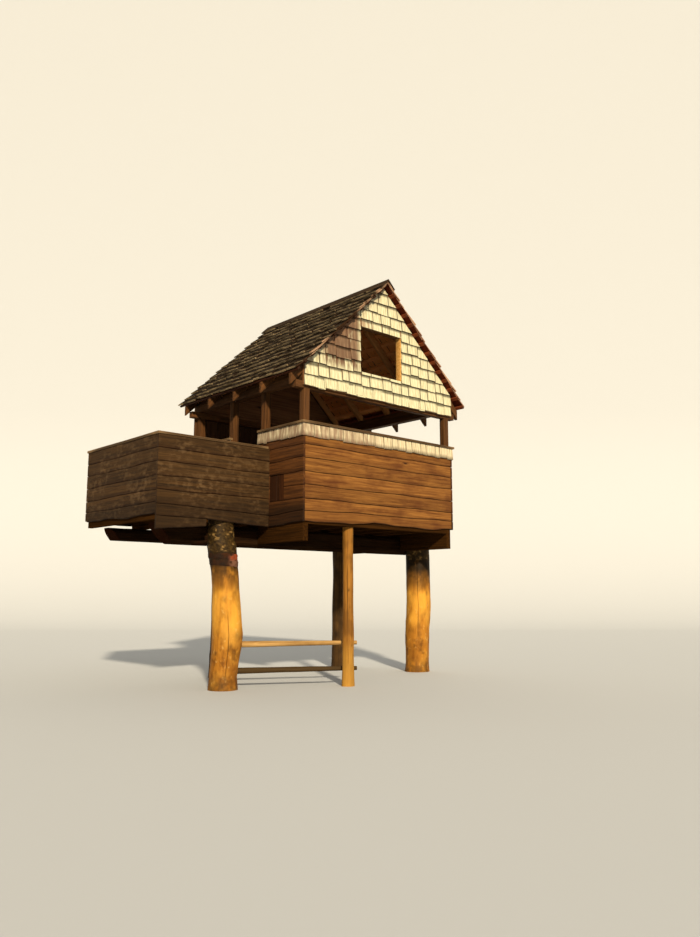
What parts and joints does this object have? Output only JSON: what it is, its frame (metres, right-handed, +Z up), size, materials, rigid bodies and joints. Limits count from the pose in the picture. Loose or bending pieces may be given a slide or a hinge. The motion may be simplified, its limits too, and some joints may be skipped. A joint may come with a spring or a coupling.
{
  "type": "tree house",
  "caption": "Gabled tree house cabin with a shingled front, open sides over board parapets and a side balcony, standing on log posts and beams.",
  "frame": {"origin": "on the ground below the middle of the whole outline", "axes": "+X along the gable wall towards the side without the balcony, +Y from the gable with the window to the back, +Z up"},
  "size_m": [4.792, 2.8, 5.4628],
  "materials": {
    "peeled_log": "peeled golden log",
    "beam_log": "dark hewn log",
    "sawn_timber": "rough sawn",
    "floor_board": "rough sawn",
    "waney_board": "weathered red-brown",
    "wall_board": "dark rough sawn",
    "wall_shingle": "bleached split shingle",
    "roof_batten": "rough sawn",
    "roof_shake": "weathered split shake",
    "lashing": "faded webbing"
  },
  "bodies": {
    "root": {"back_gable_sheathing": "wall_board", "back_gable_shingles": "wall_shingle", "back_log_beam": "beam_log", "back_posts": "peeled_log", "back_wall_boards": "wall_board", "balcony_back_boards": "waney_board", "balcony_cap_rails": "sawn_timber", "balcony_floor": "floor_board", "balcony_front_boards": "waney_board", "balcony_joists": "sawn_timber", "balcony_posts": "sawn_timber", "balcony_side_boards": "waney_board", "cabin_floor": "floor_board", "cabin_joists": "sawn_timber", "cap_rails": "sawn_timber", "corner_posts": "sawn_timber", "door_posts": "sawn_timber", "eaves_boards": "wall_board", "front_gable_sheathing": "wall_board", "front_gable_shingles": "wall_shingle", "front_log_beam": "beam_log", "front_parapet_boards": "waney_board", "left_front_post": "peeled_log", "left_parapet_boards": "waney_board", "left_rafters": "sawn_timber", "left_roof_battens": "roof_batten", "left_roof_shakes": "roof_shake", "low_rails": "peeled_log", "nook_planks": "waney_board", "parapet_shingles": "wall_shingle", "post_straps": "lashing", "prop_pole": "peeled_log", "ridge_board": "sawn_timber", "ridge_cap": "roof_shake", "right_front_post": "peeled_log", "right_parapet_boards": "waney_board", "right_rafters": "sawn_timber", "right_roof_battens": "roof_batten", "right_roof_shakes": "roof_shake", "rim_joists": "sawn_timber", "side_bearers": "sawn_timber", "tie_beams": "sawn_timber", "wall_plates": "sawn_timber", "wall_rails": "sawn_timber", "wall_studs": "sawn_timber", "window_lining": "sawn_timber", "window_studs": "sawn_timber"}
  },
  "joints": []
}
